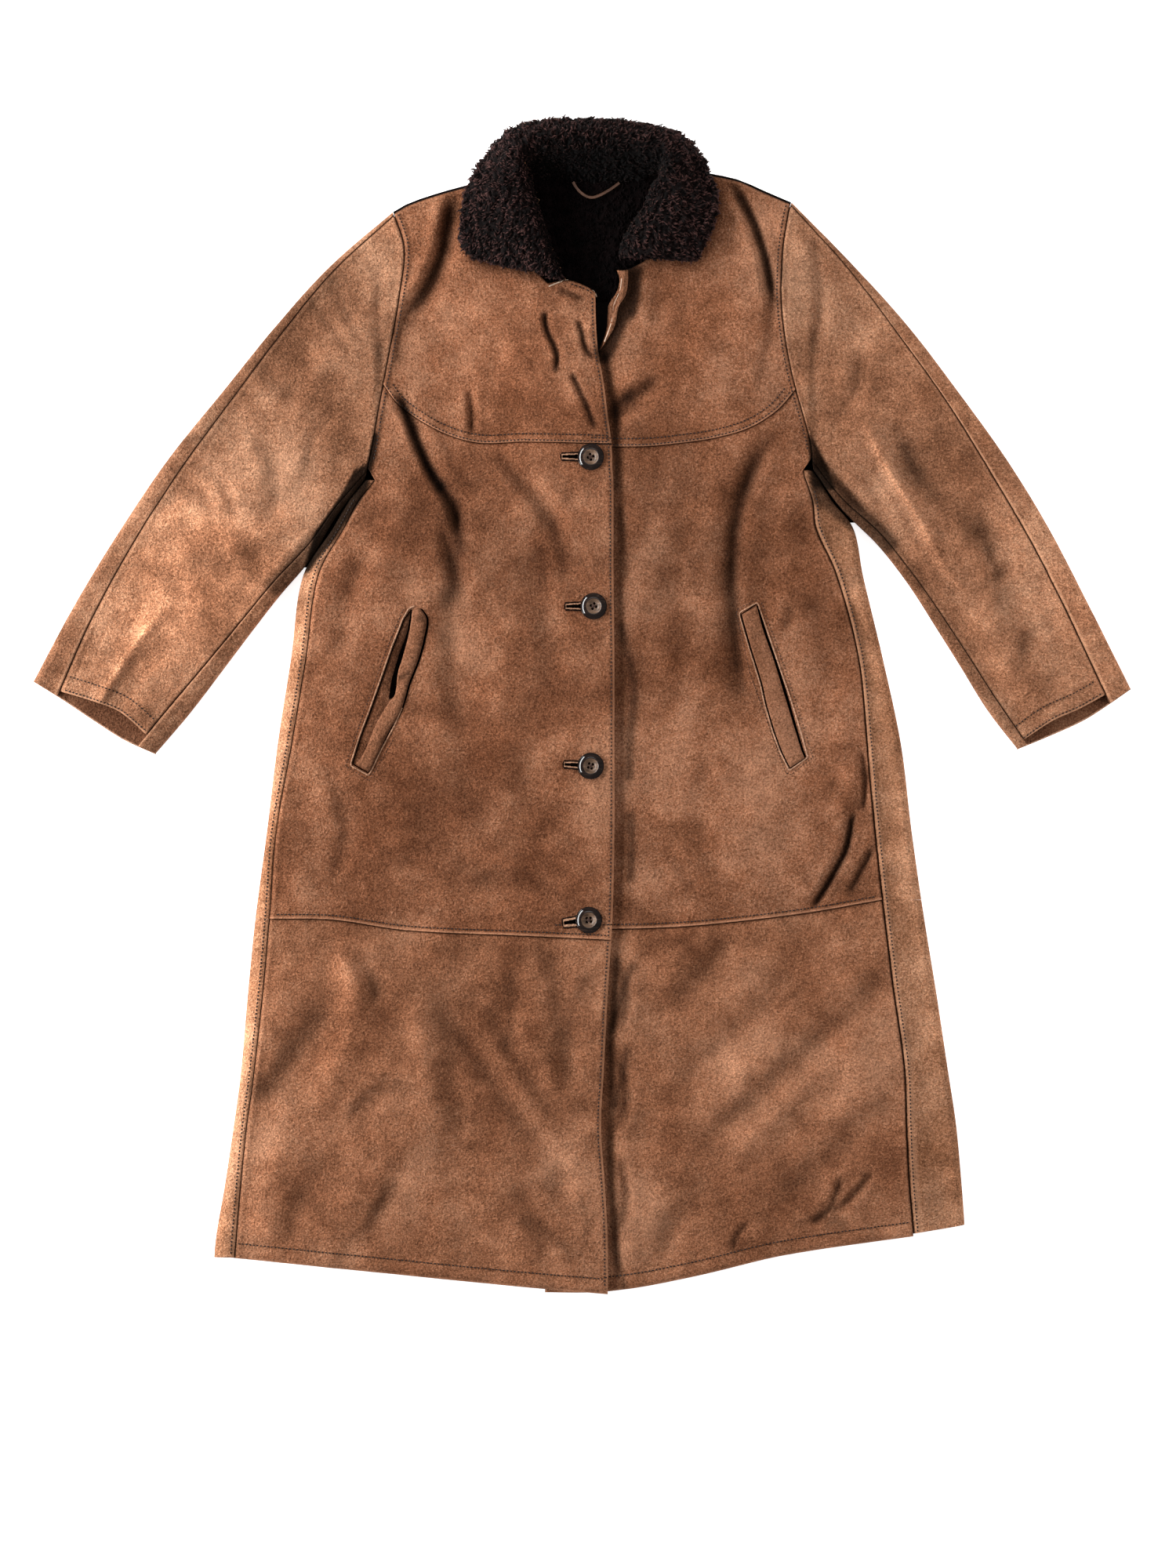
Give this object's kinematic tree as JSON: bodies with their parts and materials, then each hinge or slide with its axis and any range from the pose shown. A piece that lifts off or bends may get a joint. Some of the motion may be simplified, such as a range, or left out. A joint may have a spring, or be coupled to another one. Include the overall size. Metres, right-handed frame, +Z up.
{
  "type": "shearling coat",
  "caption": "Long single-breasted shearling coat with fleece collar, slanted welt pockets and a yoke, laid flat on its back with the fronts closed.",
  "frame": {"origin": "on the surface the coat lies on, below the middle of its outline", "axes": "+X from the wearer's right side to the left, +Y from the hem to the collar, +Z up, away from the surface"},
  "size_m": [1.1478, 1.2285, 0.0504],
  "materials": {
    "suede": "matte nap",
    "fleece": "curly wool pile",
    "horn": "polished",
    "loop_leather": "satin"
  },
  "bodies": {
    "root": {"back": "suede", "back_skirt": "suede", "yoke_right": "suede", "yoke_left": "suede", "front_right": "suede", "front_left": "suede", "skirt_front_right": "suede", "skirt_front_left": "suede", "sleeve_front_right": "suede", "sleeve_front_left": "suede", "sleeve_back_right": "suede", "sleeve_back_left": "suede", "pocket_welt_right": "suede", "pocket_welt_left": "suede", "collar": "fleece", "button_top": "horn", "button_upper": "horn", "button_lower": "horn", "button_bottom": "horn", "hanger_loop": "loop_leather"}
  },
  "joints": []
}
